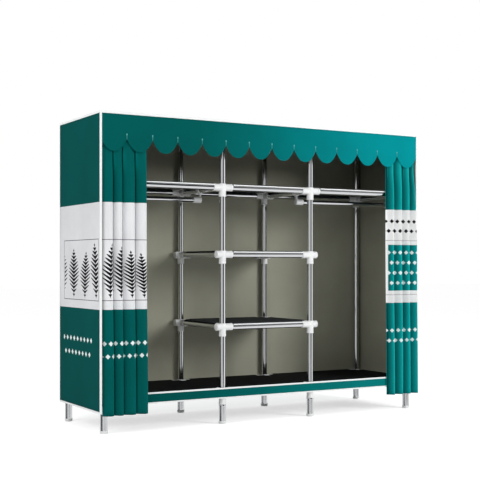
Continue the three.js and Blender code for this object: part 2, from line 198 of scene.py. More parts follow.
def lathe(profile, axis, centre):
    """A profile of (radius, place along the axis) turned once round the axis through the centre."""
    profile = np.asarray(profile, float)
    radius, place = profile[:, :1], profile[:, 1:]
    return rings(radius, place, *axes_of(axis), centre), spread(place, AROUND * radius.max())


def ring_profile(outer, inner, start, end, lip=0.3, mouth=0.0):
    """Closed profile of a tube with rounded lips; a mouth above 0 is a collar, 7 mm long, at both ends.
    A second ring by each lip keeps the long wall's shading straight."""
    rim, third = outer + mouth, lip / 3
    half = [(inner, lip), (inner + third, third), (inner + lip, 0), (rim - lip, 0), (rim - third, third),
            (rim, lip), (rim, 2 * lip + 0.4)]
    if mouth:
        half += [(rim, 7.0), (outer, 7.0 + mouth)]
    return [*((radius, start + step) for radius, step in half),
            *((radius, end - step) for radius, step in half[::-1]), (inner, start + lip)]


def tube(axis, start, end, centre, radius=TUBE):
    """A drawn tube with a wall of 1 mm and rounded ends, from start to end along the axis."""
    return lathe(ring_profile(radius, radius - 1.0, start, end), axis, centre)


# Materials
def linear(hex_text):
    """Linear colour of an sRGB hex value: under 0.04045 by division, above it by the power 2.4."""
    value = np.array([int(hex_text[place:place + 2], 16) for place in (1, 3, 5)]) / 255
    value = np.where(value <= 0.04045, value / 12.92, ((value + 0.055) / 1.055) ** 2.4)
    return (*value, 1.0)


def connect(tree, node, inputs):
    """Sets a node's inputs. An input that is a node or a socket is linked."""
    for name, value in dict(inputs).items():
        if isinstance(value, bpy.types.Node):
            value = value.outputs[0]
        if isinstance(value, bpy.types.NodeSocket):
            tree.links.new(value, node.inputs[name])
        else:
            node.inputs[name].default_value = value


def add(tree, kind, inputs=(), **settings):
    """Adds one node with its own settings and its inputs."""
    node = tree.nodes.new("ShaderNode" + kind)
    for name, value in settings.items():
        setattr(node, name, value)
    connect(tree, node, inputs)
    return node


def chain(tree, text, **values):
    """Adds a node for each item of the text, between semicolons, and returns the last one. An item is a
    new name, an operation, and its inputs in order: numbers, or names of values that it is given or has
    made. LINEAR and SMOOTHSTEP map a value from one range, the next two inputs, to 0..1 or another."""
    for item in text.split(";"):
        name, operation, *words = item.split()
        inputs = enumerate(values[word] if word in values else float(word) for word in words)
        if operation in ("LINEAR", "SMOOTHSTEP"):
            values[name] = add(tree, "MapRange", inputs, interpolation_type=operation)
        else:
            values[name] = add(tree, "Math", inputs, operation=operation)
    return values[name]


def coordinates(tree, space, *names):
    """Some of the coordinates of the shaded point, in metres where the space is the object or the uv."""
    split = add(tree, "SeparateXYZ", {"Vector": add(tree, "TexCoord").outputs[space]})
    return [split.outputs[name] for name in names]


def layered(tree, base, layers):
    """Lays colours over a base one after another, each as far as its mask says."""
    for mask, tint in layers:
        colour = tint if isinstance(tint, bpy.types.Node) else linear(tint)
        base = add(tree, "MixRGB", {"Fac": mask, "Color1": base, "Color2": colour})
    return base


def fresh_tree(owner):
    """The emptied node tree of a material or a world."""
    owner.use_nodes = True
    owner.node_tree.nodes.clear()
    return owner.node_tree


def new_material(name, surface, *values):
    """A material whose Principled surface is filled in by a function of its tree and shader."""
    material = bpy.data.materials.new(name)
    tree = fresh_tree(material)
    shader = add(tree, "BsdfPrincipled")
    add(tree, "OutputMaterial", {"Surface": shader})
    surface(tree, shader, *values)
    return material


def chrome(tree, shader, tint, roughness):
    """Bright chromium plate on drawn steel tube: mirror-like, with faint lengthwise drawing marks."""
    place = add(tree, "TexCoord")
    # drawing marks run along the tube, 0.4 mm apart round it, drawn as 1.5 mm so that they show
    marks = add(tree, "Mapping", {"Vector": place.outputs["UV"], "Scale": (2.0, 650.0, 1.0)})
    streaks = add(tree, "TexNoise", {"Vector": marks, "Detail": 2.0}, noise_dimensions="2D")
    smudges = add(tree, "TexNoise", {"Vector": place.outputs["Object"], "Scale": 14.0, "Detail": 3.0})
    rough = chain(tree, "rough LINEAR smudges 0.35 0.7 clean worn", smudges=smudges, clean=roughness,
                  worn=roughness + 0.05)
    bump = add(tree, "Bump", {"Height": streaks, "Strength": 0.03, "Distance": 0.0001})
    connect(tree, shader, {"Base Color": linear(tint), "Metallic": 1.0, "Roughness": rough, "Normal": bump})


def moulded_plastic(tree, shader, tint):
    """White injection-moulded polypropylene: satin, a little waxy, with a fine eggshell skin."""
    place = add(tree, "TexCoord").outputs["Object"]
    # eggshell skin of the mould, about 0.8 mm apart
    skin = add(tree, "TexNoise", {"Vector": place, "Scale": 1200.0, "Detail": 2.0})
    dust = add(tree, "TexNoise", {"Vector": place, "Scale": 30.0, "Detail": 4.0})
    bump = add(tree, "Bump", {"Height": skin, "Strength": 0.15, "Distance": 0.0002})
    connect(tree, shader, {
        "Base Color": layered(tree, linear(tint), [(dust, "#e4e6e6")]), "Normal": bump, "Roughness": 0.38,
        "Subsurface Weight": 0.06, "Subsurface Radius": (0.004, 0.004, 0.004)})


def cloth_surface(tree, shader, colour, layers=()):
    """Pressed non-woven cloth: a grid of tiny welded dimples and fibre fuzz over a colour, which can hold
    painted light, and its prints.
    """
    place = add(tree, "TexCoord").outputs["Object"]
    # welded dimples, 0.8 mm apart on the real cloth, drawn 1.6 mm apart so that they show
    dimples = add(tree, "TexVoronoi", {"Vector": place, "Scale": 625.0, "Randomness": 0.25},
                  feature="SMOOTH_F1")
    fuzz = add(tree, "TexNoise", {"Vector": place, "Scale": 700.0, "Detail": 3.0})
    cloud = add(tree, "TexNoise", {"Vector": place, "Scale": 5.0, "Detail": 4.0})
    height = chain(tree, "height ADD dimples fuzz", dimples=dimples, fuzz=fuzz)
    bump = add(tree, "Bump", {"Height": height, "Strength": 0.3, "Distance": 0.0004})
    tone = chain(tree, """patch LINEAR cloud 0.3 0.7 0.94 1.06; fibre LINEAR fuzz 0.3 0.7 0.94 1.05;
        tone MULTIPLY patch fibre""", cloud=cloud, fuzz=fuzz)
    toned = add(tree, "HueSaturation", {"Value": tone, "Color": layered(tree, colour, layers)})
    connect(tree, shader, {"Base Color": toned, "Normal": bump, "Roughness": 0.88,
                           "Specular IOR Level": 0.08})


def dye_with_painted_light(tree, shade, light, start=-0.7):
    """A dye painted lighter towards the wardrobe's right, where the key lamp falls: painted light as a slow
    ramp along X.
    """
    [x] = coordinates(tree, "Object", "X")
    painted_light = chain(tree, "faded SMOOTHSTEP x start 1", x=x, start=start)
    return layered(tree, linear(shade), [(painted_light, light)])


def with_painted_fold_shade(tree, colour, amount):
    """Painted shade and light on pleats: a colour times 1 + amount * shade, where the shade is a pleat's
    own and 0 on flat cloth. With an amount below 0 it is at most 1, so that white cloth isn't lighter than
    its own colour, and it is painted darker where the shade is above 0."""
    shade = add(tree, "Attribute", attribute_name="painted_fold_shade").outputs["Fac"]
    factor = add(tree, "Math", {0: shade, 1: amount, 2: 1.0}, operation="MULTIPLY_ADD",
                 use_clamp=amount < 0)
    return add(tree, "HueSaturation", {"Value": factor, "Color": colour})


# each pair is the colour at the wardrobe's left and, painted lighter, at its right; the curtains' and the
# valance's teal and the curtains' white are painted lighter copies of the cover's
TEAL, CURTAIN_TEAL, VALANCE_TEAL = ("#00504d", "#067978"), ("#005956", "#087d7d"), ("#005855", "#008a90")
WHITE, CURTAIN_WHITE = ("#dddee0", "#eff1f1"), ("#e6e7e9", "#f0f1f1")
INK, FRAME_INK, BLOCK_INK, PALE_INK = "#17181a", "#6b6c70", "#a39ea3", "#e4f1f0"
THREAD_INK, TACK_INK = "#4f9c9a", "#5fa8a6"


def teal_cloth(tree, shader):
    """The cover's non-woven cloth where it has no print: dull teal, painted lighter towards the wardrobe's
    right.
    """
    cloth_surface(tree, shader, dye_with_painted_light(tree, *TEAL))


def fern_mask(tree, across, up, pitch, base, height, reach):
    """Ink of a row of fern fronds: a bent stem with slanting leaflets that shorten to the tip.

    Along the row, a frond stands in each pitch. With v the height over its base, r the distance from
    its stem and e = sin(pi v) its outline, leaflet n lies where 13 v - 1.5 r / reach = n, and it
    thins as r nears reach times e.
    """
    return chain(tree, """turn DIVIDE across pitch; cell FLOOR turn; part FRACT turn;
        wave MULTIPLY cell 2.4; swing SINE wave; tall MULTIPLY_ADD swing more mean;
        rise SUBTRACT up base; v DIVIDE rise tall; bow MULTIPLY v v; lean MULTIPLY bow swing;
        bend MULTIPLY lean most; side MULTIPLY_ADD part pitch left; offset SUBTRACT side bend;
        r ABSOLUTE offset; half MULTIPLY v pi; arch SINE half; e MULTIPLY_ADD arch reach 0.0005;
        share DIVIDE r e; thin SUBTRACT 1 share; wide POWER thin 0.6; leaf MULTIPLY wide 0.4;
        slant MULTIPLY r slope; count MULTIPLY_ADD v 13 20; phase SUBTRACT count slant;
        tooth FRACT phase; middle SUBTRACT tooth 0.5; gap ABSOLUTE middle; leaflet LESS_THAN gap leaf;
        stem LESS_THAN r 0.0014; ink MAXIMUM leaflet stem; over GREATER_THAN v 0; under LESS_THAN v 1;
        between MULTIPLY over under; mask MULTIPLY ink between""", across=across, up=up, pitch=pitch,
        base=base, reach=reach, pi=math.pi, more=0.09 * height, mean=0.9 * height,
        most=0.16 * pitch, left=-0.5 * pitch, slope=1.5 / reach)


def band_mask(tree, value, low, high, within=1.0):
    """1 where the value is between low and high, times another mask."""
    return chain(tree, """over GREATER_THAN value low; under LESS_THAN value high;
        both MULTIPLY over under; mask MULTIPLY both within""",
        value=value, low=low, high=high, within=within)


def diamonds(tree, across, up, pitch, first_row, row_pitch, size):
    """1 inside diamonds whose rows are shifted by turns: |distance across| + |distance up| < size."""
    return chain(tree, """lift SUBTRACT up first_row; rise DIVIDE lift row_pitch; place ADD rise 0.5;
        row FLOOR place; level SUBTRACT rise row; above ABSOLUTE level; high MULTIPLY above row_pitch;
        turn DIVIDE across pitch; shift MULTIPLY_ADD row 0.5 turn; part FRACT shift;
        middle SUBTRACT part 0.5; side ABSOLUTE middle; sum MULTIPLY_ADD side pitch high;
        mask LESS_THAN sum size""", across=across, up=up, pitch=pitch, first_row=first_row,
        row_pitch=row_pitch, size=size)


def two_lines(tree, value, low, high, width, within=1.0):
    """1 on thin lines at two places, times another mask."""
    return chain(tree, """first SUBTRACT value low; a ABSOLUTE first; second SUBTRACT value high;
        b ABSOLUTE second; near MINIMUM a b; line LESS_THAN near half;
        mask MULTIPLY line within""",
        value=value, low=low, high=high, half=width / 2, within=within)


def side_print(tree, shader):
    """Side panel cloth: teal with a white band that has a framed row of ferns, and two diamond rows."""
    across, up = coordinates(tree, "Object", "Y", "Z")
    low, high, line = 0.644, 0.942, 0.0035
    band = band_mask(tree, up, 0.602, 1.120)
    ferns = band_mask(tree, across, -0.252, 0.201, fern_mask(tree, across, up, 0.151, 0.655, 0.272, 0.07))
    flat = two_lines(tree, up, low, high, line, band_mask(tree, across, -0.2595, 0.2095))
    tall = two_lines(tree, across, -0.258, 0.208, line, band_mask(tree, up, low, high))
    rows = band_mask(tree, up, 0.340, 0.480, diamonds(tree, across, up, 0.046, 0.447, 0.070, 0.0135))
    rows = band_mask(tree, across, -0.170, 0.215, rows)
    cloth_surface(tree, shader, dye_with_painted_light(tree, *TEAL), [
        (band, dye_with_painted_light(tree, *WHITE)), (ferns, INK), (flat, FRAME_INK), (tall, FRAME_INK), (rows, PALE_INK)])


def left_curtain_print(tree, shader):
    """Left curtain cloth: teal, a white band with ferns between two thin lines, and diamond rows."""
    across, up = coordinates(tree, "UV", "X", "Y")
    band = band_mask(tree, up, 0.602, 1.120)
    ferns = fern_mask(tree, across, up, FERN_PITCH * MM, 0.658, 0.268, 0.045)
    lines = two_lines(tree, up, 0.646, 0.940, 0.0035)
    rows = diamonds(tree, across, up, DIAMOND_PITCH * MM, 0.438, 0.062, 0.012)
    rows = band_mask(tree, up, 0.345, 0.470, rows)
    # the teal carries painted shade and light along each pleat
    cloth_surface(tree, shader, with_painted_fold_shade(tree, dye_with_painted_light(tree, *CURTAIN_TEAL), 1.0), [
        (band, dye_with_painted_light(tree, *CURTAIN_WHITE)), (ferns, INK), (lines, FRAME_INK), (rows, PALE_INK)])


def right_curtain_print(tree, shader):
    """Right curtain cloth: teal, and a white band with black diamonds over an inset teal block."""
    across, up = coordinates(tree, "UV", "X", "Y")
    band = band_mask(tree, up, 0.605, 1.128)
    lines = two_lines(tree, up, 0.650, 0.955, 0.003)
    block = band_mask(tree, up, 0.673, 0.931, band_mask(tree, across, 0.0, LEADING_EDGE * MM - 0.013))
    black, pale, pale_low = [
        band_mask(tree, up, low, high, diamonds(tree, across, up, DIAMOND_PITCH * MM, row, pitch, 0.012))
        for low, high, row, pitch in ((0.978, 1.090, 1.063, 0.054), (0.690, 0.915, 0.7165, 0.057),
                                      (0.362, 0.480, 0.450, 0.057))]
    # the teal carries painted shade and light along each pleat, and the white is painted darker towards
    # each pleat's right
    teal = with_painted_fold_shade(tree, dye_with_painted_light(tree, *CURTAIN_TEAL), 1.0)
    white = with_painted_fold_shade(tree, dye_with_painted_light(tree, *CURTAIN_WHITE), -0.32)
    cloth_surface(tree, shader, teal, [(band, white), (black, INK), (lines, BLOCK_INK), (block, teal),
                                       (pale, PALE_INK), (pale_low, PALE_INK)])


def valance_cloth(tree, shader):
    """Valance cloth: teal painted lighter towards the right, with a pale overlocked thread round each slit
    and a bar tack over it.
    """
    across, up = coordinates(tree, "Object", "X", "Z")
    away = chain(tree, """from_end ADD across inside; turn DIVIDE from_end pitch; place ADD turn 0.5;
        part FRACT place; middle SUBTRACT part 0.5; side ABSOLUTE middle; away MULTIPLY side pitch""",
        across=across, inside=PANEL_INSIDE * MM, pitch=SCALLOP_PITCH * MM)
    top = SLIT_TOP * MM
    thread = band_mask(tree, up, top - SLIT * MM, top, band_mask(tree, away, -1.0, 0.0016))
    tack = band_mask(tree, up, top, top + 0.007, band_mask(tree, away, -1.0, 0.003))
    # painted light: the teal ramp starts further right than on the cover and runs to a lighter end
    cloth_surface(tree, shader, dye_with_painted_light(tree, *VALANCE_TEAL, start=-0.55),
                  [(thread, THREAD_INK), (tack, TACK_INK)])


def bias_tape(tree, shader, tint):
    """White bias binding: folded cotton tape with a row of stitches along it, one each 3.5 mm."""
    along, across = coordinates(tree, "UV", "X", "Y")
    stitch = chain(tree, """turn DIVIDE along 0.0035; part FRACT turn; on LESS_THAN part 0.68;
        round DIVIDE across 0.008; place FRACT round; middle SUBTRACT place 0.5; far ABSOLUTE middle;
        row LESS_THAN far 0.06; stitch MULTIPLY on row""", along=along, across=across)
    place = add(tree, "TexCoord").outputs["Object"]
    rib = add(tree, "TexWave", {"Vector": place, "Scale": 260.0, "Distortion": 0.4},
              bands_direction="DIAGONAL")
    height = chain(tree, "height SUBTRACT rib stitch", rib=rib, stitch=stitch)
    bump = add(tree, "Bump", {"Height": height, "Strength": 0.25, "Distance": 0.0003})
    colour = layered(tree, linear(tint), [(rib, "#f1f4f4"), (stitch, "#dfe5e5")])
    connect(tree, shader, {"Base Color": colour, "Normal": bump, "Roughness": 0.75,
                           "Specular IOR Level": 0.3})


# What pieces are made of: materials and slot
CHROME = [new_material("bright_chrome_plate", chrome, "#dfe1e3", 0.05)], "frame_tube"
LEG_CHROME = [new_material("chrome_plated_leg", chrome, "#d3d5d7", 0.1)], "leg_metal"
PLASTIC = [new_material("moulded_white_polypropylene", moulded_plastic, "#f6f7f7")], "connector_plastic"
TAPE = [new_material("white_bias_tape", bias_tape, "#fbfcfc")], "piping"
GREEN = new_material("teal_nonwoven_cloth", teal_cloth)
LINING = new_material("olive_grey_cloth_back", cloth_surface, linear("#a3a393"))  # undyed and dull
SIDE_PRINT, LEFT_PRINT, RIGHT_PRINT, VALANCE_CLOTH = [new_material(name, surface) for name, surface in (
    ("printed_side_cloth", side_print), ("printed_left_curtain_cloth", left_curtain_print),
    ("printed_right_curtain_cloth", right_curtain_print), ("overlocked_valance_cloth", valance_cloth))]
# the thicker cloth of the shelves and of the floor is dark and matt
CHARCOAL = [new_material("charcoal_nonwoven_cloth", cloth_surface, linear("#3b3e41"))], "shelf_cloth"
DARK_FLOOR = [new_material("black_nonwoven_cloth", cloth_surface, linear("#1d1f20"))], "shelf_cloth"

# Frame: profiles of a leg sleeve with a rolled bead below its top, and of its end cap, a flared cup
# with a rounded foot and a groove round it
LEG = [(0, 14), (17.6, 14), (18.8, 15.2), (19, 18), (19, 20), (19, 88), (19, 90), (19.35, 91.5),
       (19.35, 95), (19, 96.5), (19, 98.9), (18.4, 99.6), (0, 99.6)]
FOOT_CAP = [(0, 0), (17.2, 0), (19, 0.7), (19.9, 2.2), (20, 5), (19.5, 5.8), (19.5, 6.8), (20, 7.6),
            (20, 14), (19.6, 14.8), (19.05, 15), (17, 15), (0, 15)]


def arm_shell(x, y, z, axis, sign, open_end):
    """A connector's arm; a blank one is shorter. Round the arm at angle a, it starts on the post's
    sleeve, where s = sqrt(17.6^2 - (r cos a)^2), and runs to the mouth, which is a thicker collar."""
    along, across, up = axes_of(axis)
    if axis == "y":
        across, up = up, across
    inner, reach = (BORE, ARM) if open_end else (0.0, BLANK_ARM)
    profile = np.array([(inner, 0.0), (SLEEVE, 0.0), (SLEEVE, 0.78), (MOUTH, 0.80), (MOUTH, 0.985),
                        (MOUTH - 0.6, 1.0), (inner + 0.5 * open_end, 1.0), (inner, 0.985), (inner, 0.0)])
    radius, share = profile[:, :1], profile[:, 1:]
    root = np.sqrt(np.clip(ROOT ** 2 - (radius * np.cos(AROUND)) ** 2, 0, None))
    place = sign * (root + share * (reach - root))
    return rings(radius, place, along, across, up, (x, y, z)), spread(place, AROUND * SLEEVE)


def connector_shells(line, row, level):
    """A moulded connector: a sleeve round the post, closed on top at the top level, and its arms."""
    x, (y, inward), z = LINES[line], ROWS[row], LEVELS[level]
    below = z - LEG_TOP if level == "bottom" else SLEEVE_BELOW
    if level == "top":
        cap = [(0, MOUTH), (12, MOUTH - 0.1), (16.5, MOUTH - 1.0), (18, MOUTH - 2.6), (SLEEVE, MOUTH - 5),
               (SLEEVE, 8 - below), (MOUTH, 7 - below), (MOUTH, 0.8 - below), (18.2, -below),
               (16.8, -below), (BORE, 0.8 - below), (BORE, 12), (0, 12)]
        shells = [lathe(cap, "z", (x, y, z))]
    else:
        sleeve = ring_profile(SLEEVE, BORE, z - below, z + MOUTH, lip=0.6, mouth=MOUTH - SLEEVE)
        shells = [lathe(sleeve, "z", (x, y, 0))]
    for sign in (-1, 1):
        place = NAMES.index(line) + sign
        if 0 <= place < len(NAMES):
            socket = not level.startswith("middle") or NAMES[place].startswith("mid")
            shells.append(arm_shell(x, y, z, "x", sign, socket))
    return [*shells, arm_shell(x, y, z, "y", inward, True)]


def rail_x(pair, row, z):
    """A rail along X between two post lines."""
    return tube("x", LINES[pair[0]] + RAIL_START, LINES[pair[1]] - RAIL_START, (0, ROWS[row][0], z))


for row, (y, _) in ROWS.items():
    for line, x in LINES.items():
        make_piece(f"leg_{row}_{line}", [lathe(LEG, "z", (x, y, 0))], LEG_CHROME, f"foot_{row}_{line}")
        make_piece(f"foot_cap_{row}_{line}", [lathe(FOOT_CAP, "z", (x, y, 0))], PLASTIC)
        make_piece(f"post_tube_{row}_{line}", [tube("z", LEG_TOP, POST_TOP, (x, y, 0))], CHROME,
                   f"post_{row}_{line}")

# a joined level is one CAD node, or one for what lies behind its front rails
for level, z in LEVELS.items():
    lines, pairs = (NAMES[1:3], PAIRS[1:2]) if level.startswith("middle") else (NAMES, PAIRS)
    rows, joined = (list(ROWS), level) if level in ("top", "bottom") else (["rear"], f"{level}_rear")
    rails = [rail_x(pair, row, z) for pair in pairs for row in rows]
    for line in lines:
        rails.append(tube("y", FRONT_ROW + RAIL_START, REAR_ROW - RAIL_START, (LINES[line], 0, z)))
    make_piece(f"{joined}_rails", rails, CHROME, f"{joined}_frame")
    for row in rows:
        shells = [shell for line in lines for shell in connector_shells(line, row, level)]
        make_piece(f"{level}_connectors_{row}", shells, PLASTIC)
    if "front" in rows:
        continue
    for line in lines:
        make_piece(f"{level}_joint_{line}", connector_shells(line, "front", level), PLASTIC,
                   f"{level}_connector_{line}")
    for bay, pair in zip(BAYS if level == "upper" else ("front",), pairs):
        make_piece(f"{level}_rail_tube_{bay}", [rail_x(pair, "front", z)], CHROME, f"{level}_rail_{bay}")


# Clothes rods and their hangers
def hanger_shells(x, y, side):
    """A rod hanger: a C-shaped clip round the rail, a waisted web, and a cup for the rod's end."""
    z = LEVELS["upper"]
    turns = np.radians(np.linspace(150, 390, 37))
    ray = np.outer(np.cos(turns), X) + np.outer(np.sin(turns), Z)
    clip = sweep(rounded_box(3.4, 24.0, 1.0), (x, y, z) + 18.1 * ray, ray, Y)
    down = np.linspace(-17.5, -38.0, 9)[:, None]
    waist = 1 - 0.25 * np.sin(np.linspace(0, math.pi, 9))[:, None]
    web = rounded_box(8.0, 22.0, 2.0)
    grid = spread(x + web[:, 0], y + web[:, 1] * waist, z + down)
    cup = [(0, -4), (14.6, -4), (15.7, -3.4), (16.1, -2), (16.1, 34), (16.3, 35), (16.3, 41), (15.6, 41.8),
           (13.5, 41.8), (12.8, 41), (12.8, 4.4), (0, 4.4)]
    cup = lathe(np.array(cup) * (1, side), "x", (x, y, ROD_Z))
    return [clip, (grid, spread(down, arc_lengths(web))), cup]


for bay, y, ends in (("left", 20.0, NAMES[:2]), ("right", -90.0, NAMES[2:])):
    rod = tube("x", LINES[ends[0]] + 4.6, LINES[ends[1]] - 4.6, (0, y, ROD_Z), ROD)
    make_piece(f"rod_{bay}", [rod], CHROME, f"clothes_rod_{bay}")
    for line, side in zip(ends, (1, -1)):
        place = "inner" if line.startswith("mid") else "outer"
        make_piece(f"rod_clip_{bay}_{place}", hanger_shells(LINES[line], y, side), PLASTIC,
                   f"rod_hanger_{bay}_{place}")


# Cover panels and their binding
def spaced(start, end, step):
    """Even places from start to end, about a step apart."""
    return np.linspace(start, end, max(2, int(round(abs(end - start) / step)) + 1))


def panel_shell(corner, across, up, width, height, swell, step=22.0):
    """A cloth panel on a grid: corner + s across + t up, with a swell(s/width, t/height) outwards,
    where outwards is across x up. Cloth swells softly and lies flat at its bound edges."""
    s, t = np.meshgrid(spaced(0, width, step), spaced(0, height, step))
    lift = swell(s / width, t / height)
    grid = (np.asarray(corner, float) + s[..., None] * across + t[..., None] * up
            + lift[..., None] * np.cross(across, up))
    return grid, spread(s, t)


def side_swell(s, t):
    """Soft upright hollows between the posts and slow ripples, nothing at the edges, in millimetres."""
    edge = np.sin(math.pi * s) ** 0.5 * np.sin(math.pi * t) ** 0.35
    return edge * (-1.3 + 0.9 * np.sin(7.5 * s + 1.3 * np.sin(5 * t)) + 0.6 * np.sin(3.1 * t + 4 * s))


def long_swell(s, t):
    """The same for a long panel: hollows between the post lines."""
    edge = np.sin(math.pi * s) ** 0.35 * np.sin(math.pi * t) ** 0.35
    return edge * (-1.4 + 0.9 * np.sin(19 * s + 1.1 * np.sin(4 * t)) + 0.7 * np.sin(6.3 * t + 9 * s))


def sag_share(x, y, lines):
    """How far cloth sags: sin(pi p)^0.8 sin(pi q)^0.7, where p runs from 0 to 1 between two post lines
    and q between the two rows."""
    posts = np.array([LINES[line] for line in lines])
    bay = np.clip(np.searchsorted(posts, x), 1, len(posts) - 1)
    part = np.clip((x - posts[bay - 1]) / (posts[bay] - posts[bay - 1]), 0, 1)
    depth = np.clip((y - FRONT_ROW) / (REAR_ROW - FRONT_ROW), 0, 1)
    return np.sin(math.pi * part) ** 0.8 * np.sin(math.pi * depth) ** 0.7


def top_swell(s, t):
    """The top sags a few millimetres in each bay between the rails that carry it."""
    return -3.6 * sag_share(LEFT + s * (RIGHT - LEFT), FRONT + t * (BACK - FRONT), NAMES)


deep, tall = BACK - FRONT, PANEL_TOP - COVER_BOTTOM
for place, corner, across, up, width, height, swell, cloth in (
        ("left", (LEFT, BACK, COVER_BOTTOM), -Y, Z, deep, tall, side_swell, SIDE_PRINT),
        ("right", (RIGHT, FRONT, COVER_BOTTOM), Y, Z, deep, tall, side_swell, SIDE_PRINT),
        ("back", (PANEL_INSIDE, BACK, COVER_BOTTOM), -X, Z, 2 * PANEL_INSIDE, tall, long_swell, GREEN),
        ("top", (LEFT, FRONT, HEIGHT), X, Y, RIGHT - LEFT, deep, top_swell, GREEN)):
    make_sheet(f"panel_{place}", panel_shell(corner, across, up, width, height, swell),
               ([cloth, LINING], "cover_cloth"), f"cover_{place}", COVER_WALL, (width, height), "stretched",
               "top_frame")


def carried(section, start, end, across, up):
    """A closed section carried straight from start to end."""
    start, end = np.array(start, float), np.array(end, float)
    count = max(2, int(np.linalg.norm(end - start) / 40) + 1)
    return sweep(section, start + np.linspace(0, 1, count)[:, None] * (end - start), across, up)


def tape(start, end, across, width, height):
    """Flat binding: a rounded bar of tape, which stands upright."""
    return carried(rounded_box(width, height, min(width, height) * 0.36), start, end, across, Z)


def corner_section(leg_s, leg_t):
    """Tape folded round a corner of the box: an L whose outer corner is a quarter circle. Its two
    legs run back along -s and -t, and its outside stands a little proud of the cloth."""
    proud, under, radius = 0.8, 1.6, 2.2
    turns = np.linspace(math.pi / 2, 0, 6)
    round_it = proud - radius + radius * np.stack([np.cos(turns), np.sin(turns)], axis=1)
    middle = (proud - under) / 2
    upper = [(-leg_s, -under), (-leg_s - 0.7, middle), (-leg_s, proud)]
    lower = [(proud, -leg_t), (middle, -leg_t - 0.7), (-under, -leg_t)]
    return np.concatenate([upper, round_it, lower, [(-under, -under)], upper[:1]])


# the front and back legs and the side legs of the tape on the four upright corners
for place, x, y, out_x, out_y, leg_s, leg_t in (
        ("front_left", LEFT, FRONT, -X, -Y, 9.5, 3.0), ("front_right", RIGHT, FRONT, X, -Y, 2.4, 9.0),
        ("back_left", LEFT, BACK, -X, Y, 9.0, 3.0), ("back_right", RIGHT, BACK, X, Y, 9.0, 3.0)):
    corner = carried(corner_section(leg_s, leg_t), (x, y, COVER_BOTTOM - 6), (x, y, HEIGHT), out_x, out_y)
    make_piece(f"binding_{place}", [corner], TAPE)
# the seams round the top stand up, and those round the bottom hang down a little below the cloth
for place, start, end, across in (
        ("front", (LEFT, FRONT + 1), (RIGHT, FRONT + 1), Y),
        ("back", (LEFT, BACK - 1), (RIGHT, BACK - 1), Y),
        ("left", (LEFT + 1, FRONT), (LEFT + 1, BACK), X),
        ("right", (RIGHT - 1, FRONT), (RIGHT - 1, BACK), X)):
    make_piece(f"seam_top_{place}", [tape((*start, SEAM_Z), (*end, SEAM_Z), across, 3.4, 11.0)], TAPE)
    if place != "front":
        make_piece(f"hem_{place}", [tape((*start, HEM_Z), (*end, HEM_Z), across, 3.2, 9.5)], TAPE)


# Valance
def valance_shells():
    """Fourteen tongues side by side. A tongue's lower edge is z = lowest + rise |2u - 1|^2.3, the
    grid lines run from it to the top, and the tongue swells forward and curls at its tip."""
    shells = []
    u = (1 - np.cos(np.linspace(0, math.pi, 17))) / 2
    edge = VALANCE_LOWEST + SCALLOP_RISE * abs(2 * u - 1) ** 2.3
    lower, upper = np.linspace(0, 1, 13)[:, None] ** 1.3, np.linspace(0, 1, 8)[1:, None]
    z = np.concatenate([edge + lower * (SLIT_TOP - edge),
                        SLIT_TOP + upper * (PANEL_TOP - SLIT_TOP + 0 * u)])
    drop = np.clip((SLIT_TOP - z) / (SLIT_TOP - VALANCE_LOWEST), 0, 1)
    for index in range(SCALLOPS):
        x = (-PANEL_INSIDE + index * SCALLOP_PITCH + u * SCALLOP_PITCH
             + SLIT_WIDTH * (0.5 - u) * np.clip((SLIT_TOP - z) / SLIT, 0, 1))
        swell = 0.9 * np.sin(math.pi * u) * drop + 0.7 * np.sin(5.1 * (x / 500) + 0.6) * (1 - drop)
        curl = 1.5 * drop ** 2 * (0.55 + 0.45 * math.sin(1.7 * index))
        shells.append((spread(x, FRONT - np.clip(swell + curl, -0.2, 3.0), z), spread(x, z - edge)))
    return shells


valance = make_piece("scalloped_valance", valance_shells(), ([VALANCE_CLOTH, LINING], "cover_cloth"),
                     "valance", wall=COVER_WALL)


# Shelf cloths
def notched_shell(x_start, x_end, y_start, lines, z, sag, turned):
    """A shelf cloth on a grid that leaves out the cells round its connectors, sags between the rails
    and is turned down at its front edge."""
    marks_x, marks_y = {x_start, x_end}, {y_start, y_start + TURN_DOWN, SHELF_REAR}
    for line in lines:
        marks_x |= {LINES[line] + step for step in (-NOTCH_END, -NOTCH, NOTCH, NOTCH_END)}
    for y, inward in ROWS.values():
        marks_y |= {y - NOTCH, y + NOTCH, y + inward * NOTCH_END}
    xs, ys = [], []
    for places, marks, low, high in ((xs, marks_x, x_start, x_end), (ys, marks_y, y_start, SHELF_REAR)):
        marks = sorted(mark for mark in marks if low <= mark <= high)
        places.extend(np.unique(np.concatenate([spaced(a, b, 20.0) for a, b in zip(marks, marks[1:])])))
    x, y = np.meshgrid(xs, ys)
    centre_x, centre_y = (x[1:, 1:] + x[1:, :-1]) / 2, (y[1:, 1:] + y[:-1, 1:]) / 2
    kept = np.ones(centre_x.shape, bool)
    for line in lines:
        side = abs(centre_x - LINES[line])
        for row_y, inward in ROWS.values():
            reach = (centre_y - row_y) * inward
            kept &= ~((side < NOTCH_END) & (abs(reach) < NOTCH))
            kept &= ~((side < NOTCH) & (reach > -NOTCH) & (reach < NOTCH_END))
    drop = sag * sag_share(x, y, lines) + turned * np.clip((y_start + TURN_DOWN - y) / TURN_DOWN, 0, 1)
    return spread(x, y, z - drop + 0.25 * np.sin(x / 37) * np.sin(y / 29)), spread(x, y), kept


